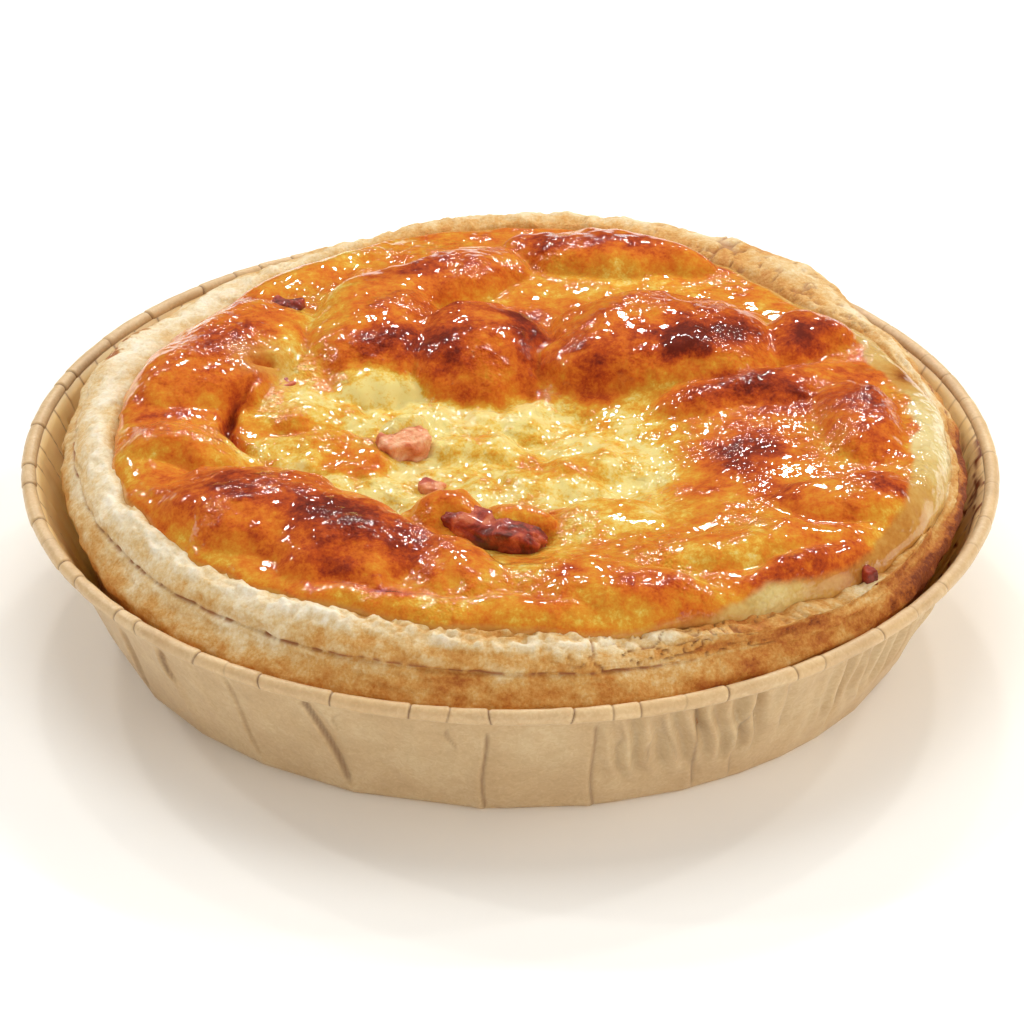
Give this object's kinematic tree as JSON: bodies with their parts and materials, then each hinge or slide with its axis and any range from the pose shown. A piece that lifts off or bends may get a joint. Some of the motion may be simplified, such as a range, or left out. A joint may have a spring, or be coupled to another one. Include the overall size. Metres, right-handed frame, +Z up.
{
  "type": "quiche",
  "caption": "Individual quiche in its pleated kraft paper case: laminated pastry rim, puffed glossy egg and cheese custard, bacon showing through. A baked dish to serve.",
  "frame": {"origin": "centre of the paper case's flat base, on the surface it stands on", "axes": "+Z up, -Y towards the side shown nearest in the picture, +X to its right"},
  "size_m": [0.14, 0.14, 0.036],
  "materials": {
    "paper": "uncoated kraft baking paper, pleated and rolled at the rim, greasy inside",
    "pastry": "laminated butter pastry, baked pale and floury on the lip and golden brown on the side",
    "custard": "puffed egg, cream and cheese custard with a glossy browned skin over a pale yellow middle",
    "bacon": "cured smoked bacon cubes, moist and browned"
  },
  "bodies": {
    "root": {"paper_case": "paper", "pastry_crust": "pastry", "custard": "custard", "bacon_front": "bacon", "bacon_middle": "bacon", "bacon_small": "bacon", "bacon_back": "bacon", "bacon_east": "bacon", "bacon_west": "bacon"}
  },
  "joints": []
}
